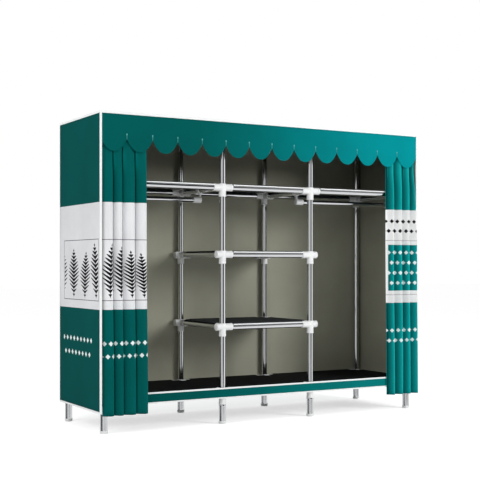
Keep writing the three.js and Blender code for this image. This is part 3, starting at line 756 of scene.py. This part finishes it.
shelves = [(f"upper_{bay}", f"upper_shelf_{bay}", "upper", pair) for bay, pair in zip(BAYS, PAIRS)]
shelves += [(level, f"{level}_shelf", level, PAIRS[1]) for level in ("middle_high", "middle_low")]
for name, node, level, pair in shelves:
    start, end = (LINES[line] for line in pair)
    top = LEVELS[level] + SHELF_ABOVE
    # the long shelf reaches past its outer post lines, and a short one past both of its own
    x_start = start - TUBE * (pair[0] == "left" or level != "upper")
    x_end = end + TUBE * (pair[1] == "right" or level != "upper")
    make_sheet(f"shelf_{name}", notched_shell(x_start, x_end, SHELF_FRONT, pair, top, 4.0, 5.0), CHARCOAL,
               node, SHELF_WALL, (x_end - x_start, SHELF_REAR - SHELF_FRONT), "stretched",
               f"{level}_rear_frame")
    low = top - TURN_DOWN
    edge = tape((start + NOTCH_END + 1, SHELF_BINDING, low), (end - NOTCH_END - 1, SHELF_BINDING, low), Y,
                5.0, 6.0)
    make_piece(f"shelf_binding_{name}", [edge], TAPE)

floor_front, floor_side = -251.0, 942.0
make_sheet("floor_sheet", notched_shell(-floor_side, floor_side, floor_front, NAMES,
                                        LEVELS["bottom"] + SHELF_ABOVE, 3.5, 1.0),
           DARK_FLOOR, "floor_cloth", SHELF_WALL, (2 * floor_side, SHELF_REAR - floor_front), "stretched",
           "bottom_frame")


def front_band_swell(s, t):
    """Slight ripples of the band that hangs down in front of the floor cloth."""
    return 0.35 * np.sin(47 * s) * np.sin(math.pi * t)


band_size = (2 * PANEL_INSIDE, BAND_TOP - BAND_BOTTOM)
make_sheet("front_band", panel_shell((-PANEL_INSIDE, BAND_BACK - 1.6, BAND_BOTTOM), X, Z, *band_size,
                                     front_band_swell, 9.0),
           ([GREEN, LINING], "band_cloth"), None, COVER_WALL, band_size, "hung", "bottom_frame")
for place, z, width in (("top", BAND_TOP + 0.5, 8.5), ("bottom", BAND_BOTTOM + 2.5, 7.0)):
    edge = tape((-PANEL_INSIDE, BAND_FRONT, z), (PANEL_INSIDE, BAND_FRONT, z), Y, 2.8, width)
    make_piece(f"band_binding_{place}", [edge], TAPE)


# Curtains
def lean(z):
    """Folds stray a little towards the wardrobe's right on their way down, in millimetres."""
    return 10.0 * (1 - (z - CURTAIN_BOTTOM) / CURTAIN_HEIGHT) + 1.2 * np.sin(z / 170)


def smooth(value):
    """Smoothstep: 3 t^2 - 2 t^3 of the value held between 0 and 1."""
    value = np.clip(value, 0, 1)
    return value * value * (3 - 2 * value)


PLEAT_SHARES = (1 - np.cos(np.linspace(0, math.pi, 33))) / 2


def pleat_shell(outer, inner, y_outer, y_inner, phase, skew, power, bulge, flare):
    """One pleat, seen from above an arch from its outer to its inner end, at s from 0 to 1.

    y = straight line between the ends - A(z) sin(pi g)^power, where g is t^skew for t counted from the
    pleat's left end, so that the crest lies towards the right. The bulge A grows below the valance,
    and a flare moves the crest sideways there. u is the distance along the cloth and v the height.
    """
    s = PLEAT_SHARES
    z = np.concatenate([np.linspace(CURTAIN_BOTTOM, CLOSE_ROWS, 46),
                        np.linspace(CLOSE_ROWS, CURTAIN_TOP, 22)[1:]])[:, None]
    wander = 0.9 * np.sin(z / 210 + phase) * smooth((1300 - z) / 100)
    crest = CREST - bulge * smooth((BELOW_VALANCE - z) / 130) + wander
    turn = s ** skew if inner > outer else 1 - (1 - s) ** skew
    arch = np.clip(np.sin(math.pi * turn), 0, 1)
    y = y_outer + (y_inner - y_outer) * s + (crest - (y_outer + y_inner) / 2) * arch ** power
    x = outer + (inner - outer) * s + lean(z) + 1.3 * np.sin(math.pi * s) * np.sin(z / 260 + 2 * phase)
    grid = spread(x + flare * arch * smooth((BELOW_VALANCE - z) / 500), y, z)
    along = arc_lengths(grid[20])
    return grid, spread(along, z), along[-1]


def tuck_shell(boundary, way, travel, layers, u_start, u_end):
    """The cloth between two pleats, folded to and fro behind the inner one.

    x = boundary + way * L (1 - cos(pi n s)) / 2 with n layers, and y goes from the outer pleat's end
    to the inner one's by the inverse of the smoothstep, so that it unfolds evenly as the pleat slides.
    u follows x with travel * s added to it, as when the curtain is drawn shut, so that the print then
    runs on evenly from u_start to u_end.
    """
    s = np.linspace(0, 1, layers * 10 + 1)
    z = np.linspace(CURTAIN_BOTTOM, CURTAIN_TOP, 36)[:, None]
    t = 0.5 - np.sin(np.arcsin(np.clip(1 - 2 * s, -1, 1)) / 3)
    to_and_fro = 0.96 * travel / layers * (1 - np.cos(math.pi * layers * s)) / 2
    y = CURTAIN_BACK + (CURTAIN_LAYER - CURTAIN_BACK) * t
    grid = spread(boundary + way * to_and_fro + lean(z), y, z)
    drawn_shut = travel * s + to_and_fro
    u = u_start + (u_end - u_start) * drawn_shut / drawn_shut[-1]
    return grid, spread(u, z), arc_lengths(grid[18])[-1]


def facing_front(grid, uv, way):
    """A curtain's cloth with its columns from the wardrobe's left, so that its front is the outside."""
    return (grid, uv) if way > 0 else (grid[:, ::-1], uv[:, ::-1])


def glider_shells(x, z_top):
    """A small white glider: a hook round the rail, open behind, and a clamp on the curtain's top edge."""
    turns = np.radians(np.linspace(30, 330, 25))
    ray = np.outer(np.cos(turns), Y) + np.outer(np.sin(turns), Z)
    hook = sweep(rounded_box(1.6, 5.0, 0.5), (x, RAIL_Y, RAIL_Z) + 6.3 * ray, ray, X)
    ends = [(x, RAIL_Y, z_top - 15), (x, RAIL_Y, z_top - 0.5)]
    return [hook, sweep(rounded_box(7.0, 5.0, 1.2), ends, X, Y)]


# painted light and shade along a pleat from its left to its right end: lighter at both edges of a left one,
# and lighter towards the right on a right one, where the key lamp falls, with a painted dark line of shade
# in the valleys
from_middle = abs(2 * PLEAT_SHARES - 1)
PAINTED_FOLD_SHADES = {"left": 0.6 * from_middle ** 3 - 1.3 * from_middle ** 40,
                "right": 1.9 * PLEAT_SHARES - 0.7 - 2.1 * PLEAT_SHARES ** 30}
# a side's way inwards, widths of its pleats from the side inwards, travel of each slide, layers of its
# tucks, cloth, and its pleats' skew, power, bulge and flare
curtains = (
    ("left", 1, (64.7, 49.0, 67.0, 61.0), 234.5, (6, 4, 6), LEFT_PRINT, 1.5, 0.6, 14.0, 0.0),
    ("right", -1, (38.7, 53.0, 58.0, 50.3), 251.5, (6, 6, 6), RIGHT_PRINT, 1.7, 0.9, 11.0, 19.0),
)
for side, way, widths, travel, layer_counts, cloth, skew, power, bulge, flare in curtains:
    name, kind = f"curtain_{side}", ([cloth], "cover_cloth")
    bounds = way * (np.cumsum([0.0, *widths]) - CURTAIN_OUTER)
    u_next = LEADING_EDGE
    for number in (4, 3, 2, 1):  # from the leading edge outwards
        outer, inner = bounds[number - 1], bounds[number]
        body, y_outer, inset = f"{name}_{number}", CURTAIN_LAYER, 1.0
        if number == 1:
            body, y_outer, inset = "wardrobe", FIRST_OUTER, 7.0 if flare else 1.0
        y_inner, gap, gap_inset = (CURTAIN_BACK, travel, 0.8) if number < 4 else (LAST_INNER, 0.0, 0.0)
        grid, uv, length = pleat_shell(
            outer + way * inset, inner - way * gap_inset, y_outer, y_inner, 1.9 * (number - 1) + way, skew,
            power, bulge, flare if number == 1 else 0.0)
        # each left pleat has a fern in its middle, and the right diamonds carry on from pleat to pleat
        # leading adds painted shade to the left flank of the right curtain's leading pleat
        u_pleat, leading = u_next - DIAMOND_PITCH * round(gap / DIAMOND_PITCH) - length, 0.3 * (number == 4)
        if side == "left":
            fern = round((u_next - gap - length / 2) / FERN_PITCH - 0.5) + 0.5
            u_pleat, leading = FERN_PITCH * fern - length / 2, 0.0
        make_sheet(f"{name}_pleat_{number}", facing_front(grid, uv + np.array([u_pleat, 0.0]), way), kind,
                   f"{name}_fold_{number}", CURTAIN_WALL, (length, CURTAIN_HEIGHT), "gathered",
                   "curtain_rail", body=body, crease=80,
                   shade=PAINTED_FOLD_SHADES[side] - leading * (1 - PLEAT_SHARES) ** 2)
        glider = glider_shells((outer + inner) / 2 + lean(CURTAIN_TOP), CURTAIN_TOP - 0.5)
        make_piece(f"{name}_glider_{number}", glider, PLASTIC, body=body)
        if number == 4:
            z = np.linspace(CURTAIN_BOTTOM, CURTAIN_TOP, 40)
            path = np.stack([inner + lean(z), np.full(40, y_inner - 0.3), z], axis=1)
            grid, uv = sweep(rounded_box(2.6, 3.4, 1.0), path, X, Y)
            uv = np.stack([uv[..., 1] + u_pleat + length, CURTAIN_BOTTOM + uv[..., 0]], axis=2)
            make_piece(f"{name}_turned_edge", [(grid, uv)], kind, body=body)
        else:
            grid, uv, tuck_length = tuck_shell(inner, way, travel, layer_counts[number - 1],
                                               u_pleat + length, u_next)
            piece = make_piece(f"{name}_tuck_{number}", [facing_front(grid, uv, way)], kind, body=None,
                               wall=CURTAIN_WALL, crease=80)
            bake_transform(piece)
        u_next = u_pleat

rail = lathe(ring_profile(5.0, 3.8, -RAIL_END, RAIL_END), "x", (0, RAIL_Y, RAIL_Z))
ends = [(-RAIL_END, -255.0, RAIL_Z), (RAIL_END, -255.0, RAIL_Z)]
flange = sweep(rounded_box(13.2, 4.0, 0.8), ends, Y, Z)
make_piece("curtain_rail_tube", [rail, flange], CHROME, "curtain_rail")


# Camera, light and floor
def make_camera():
    """The photograph's camera: level, 30 degrees to the left of the front, as a perspective fit gives."""
    data = bpy.data.cameras.new("camera")
    data.sensor_fit, data.sensor_width, data.lens = "HORIZONTAL", 36.0, 78.62
    data.shift_y, data.clip_end = 0.05257, 50.0
    camera = add_object("camera", data)
    camera.location = (-2.8756, -4.9614, 0.8161)
    camera.rotation_euler = (math.pi / 2, 0.0, math.radians(-29.794))
    bpy.context.scene.camera = camera


def make_lamp(name, place, target, size, power):
    """A square soft box at a place, which faces its target and isn't seen in mirrors."""
    data = bpy.data.lights.new(name, "AREA")
    data.shape, data.size, data.energy = "SQUARE", size, power
    lamp = add_object(name, data)
    way = np.array(target, float) - np.array(place, float)
    lamp.location, lamp.visible_glossy = place, False
    lamp.rotation_euler = (math.acos(-way[2] / np.linalg.norm(way)), 0.0, math.atan2(-way[0], way[1]))


def make_world():
    """A white studio: 1 for the camera and less as light on the object. Level mirrors see grey to the
    left of the front, a black screen before it and white to the right. Looking down, as the legs and
    the undersides do, they see white with a black strip far to the left, and looking up it is dark."""
    world = bpy.data.worlds.new("studio")
    tree = fresh_tree(world)
    ray = add(tree, "LightPath").outputs
    x, y, z = coordinates(tree, "Generated", "X", "Y", "Z")
    strength = chain(tree, """xx MULTIPLY x x; both MULTIPLY_ADD y y xx; flat SQRT both;
        share DIVIDE x flat; left SMOOTHSTEP share -0.16 -0.30 0 0.62;
        right SMOOTHSTEP share 0.46 0.60 0.03 1; round ADD left right;
        low SMOOTHSTEP z -0.114 -0.13 0 1; strip SMOOTHSTEP share -0.80 -0.92 0.9 0.05;
        change SUBTRACT strip round; sides MULTIPLY_ADD change low round;
        above SMOOTHSTEP z 0.14 0.20 1 0.15; below SMOOTHSTEP z -0.86 -0.95 1 0.1;
        steep MULTIPLY above below; mirror MULTIPLY sides steep; in_mirror MULTIPLY mirror glossy;
        white MAXIMUM camera glass; seen MAXIMUM white in_mirror; special MAXIMUM white glossy;
        rest SUBTRACT 1 special; strength MULTIPLY_ADD rest 0.48 seen""", x=x, y=y, z=z,
        camera=ray["Is Camera Ray"], glossy=ray["Is Glossy Ray"],
        glass=ray["Is Transmission Ray"])
    light = add(tree, "Background", {"Color": (1, 1, 1, 1), "Strength": strength})
    add(tree, "OutputWorld", {"Surface": light})
    bpy.context.scene.world = world


def studio_floor(tree, shader):
    """A matt pale floor: it keeps a shadow, otherwise looks white, and isn't seen in mirrors."""
    ray = add(tree, "LightPath").outputs
    shown = chain(tree, "shown SUBTRACT 1 glossy", glossy=ray["Is Glossy Ray"])
    glow = chain(tree, "seen MAXIMUM camera glass; glow MULTIPLY seen 0.58", camera=ray["Is Camera Ray"],
                 glass=ray["Is Transmission Ray"])
    connect(tree, shader, {
        "Base Color": (0.85, 0.85, 0.85, 1), "Roughness": 0.9, "Specular IOR Level": 0.0, "Alpha": shown,
        "Emission Color": (1, 1, 1, 1), "Emission Strength": glow})


make_camera()
make_world()
mesh = bpy.data.meshes.new("studio_floor")
far = 30.0
mesh.from_pydata([(-far, -far, 0), (far, -far, 0), (far, far, 0), (-far, far, 0)], [], [(0, 1, 2, 3)])
mesh.materials.append(new_material("pale_studio_floor", studio_floor))
add_object("studio_floor", mesh)
make_lamp("key_lamp", (3.0, -4.7, 2.3), (0.2, -0.2, 0.8), 2.0, 168.0)
make_lamp("side_lamp", (-4.2, -1.2, 2.4), (-0.9, 0.0, 0.8), 2.4, 70.0)
bpy.context.scene.view_settings.view_transform = "Standard"
